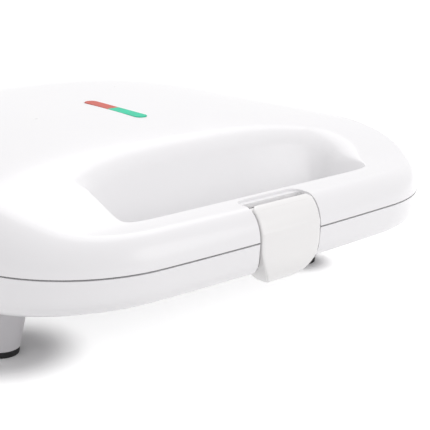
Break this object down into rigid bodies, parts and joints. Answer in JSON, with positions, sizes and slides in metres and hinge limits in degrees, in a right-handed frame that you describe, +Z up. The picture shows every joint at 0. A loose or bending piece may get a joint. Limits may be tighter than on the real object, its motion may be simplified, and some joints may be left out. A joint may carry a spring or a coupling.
{
  "type": "sandwich toaster",
  "caption": "Countertop sandwich toaster with a domed hinged lid, triangular cooking pockets, a looped front handle and a latch clip.",
  "frame": {"origin": "middle of the bounding box, on the table under the rubber pads", "axes": "+X to the right as seen by the user, +Y from the handle to the hinge, +Z up"},
  "size_m": [0.232, 0.2646, 0.0763],
  "materials": {
    "shell_white": "glossy moulded plastic",
    "latch_white": "glossy, a little creamy",
    "liner_dark": "heat-resistant, fine texture",
    "plate_nonstick": "cast, dark non-stick coating",
    "element_steel": "heat-tinted sheath",
    "clamp_steel": "plated",
    "reflector_sheet": "bright sheet",
    "screw_steel": "zinc plated",
    "pin_steel": "polished",
    "leg_grey": "satin",
    "pad_rubber": "matt",
    "lens_red": "clear tinted",
    "lens_green": "clear tinted",
    "lamp_glass": "clear",
    "ceramic": "matt",
    "phenolic": "matt",
    "sleeve": "braided glass fibre",
    "wire_red": "silicone",
    "gland_dark": "satin"
  },
  "bodies": {
    "base": {"base_shell": "shell_white", "base_liner": "liner_dark", "lower_plate": "plate_nonstick", "lower_plate_screws": "screw_steel", "lower_element": "element_steel", "lower_element_clamps": "clamp_steel", "lower_reflector": "reflector_sheet", "base_screws": "screw_steel", "thermostat": "phenolic", "terminal_block": "ceramic", "base_wiring": "wire_red", "cord_gland": "gland_dark", "hinge_lead": "sleeve", "hinge_pin_left": "pin_steel", "hinge_pin_right": "pin_steel", "leg_front_left": "leg_grey", "leg_front_right": "leg_grey", "leg_back_left": "leg_grey", "leg_back_right": "leg_grey", "pad_front_left": "pad_rubber", "pad_front_right": "pad_rubber", "pad_back_left": "pad_rubber", "pad_back_right": "pad_rubber", "leg_screws": "screw_steel"},
    "lid": {"lid_shell": "shell_white", "lid_liner": "liner_dark", "upper_plate": "plate_nonstick", "upper_plate_screws": "screw_steel", "upper_element": "element_steel", "upper_element_clamps": "clamp_steel", "upper_reflector": "reflector_sheet", "lid_screws": "screw_steel", "thermal_fuse": "ceramic", "lid_wiring": "wire_red", "red_lens": "lens_red", "green_lens": "lens_green", "lamp_holder": "ceramic", "neon_lamps": "lamp_glass", "latch_pin": "pin_steel"},
    "latch": {"latch": "latch_white"}
  },
  "joints": [
    {"name": "lid_hinge", "type": "hinge", "parent": "base", "child": "lid", "pos_m": [0, 0.12735, 0.046], "axis": [-1, 0, 0], "range_deg": [0, 100], "deforming": ["hinge_lead"]},
    {"name": "latch_pivot", "type": "hinge", "parent": "lid", "child": "latch", "pos_m": [0, -0.12415, 0.052], "axis": [-1, 0, 0], "range_deg": [0, 45]}
  ]
}
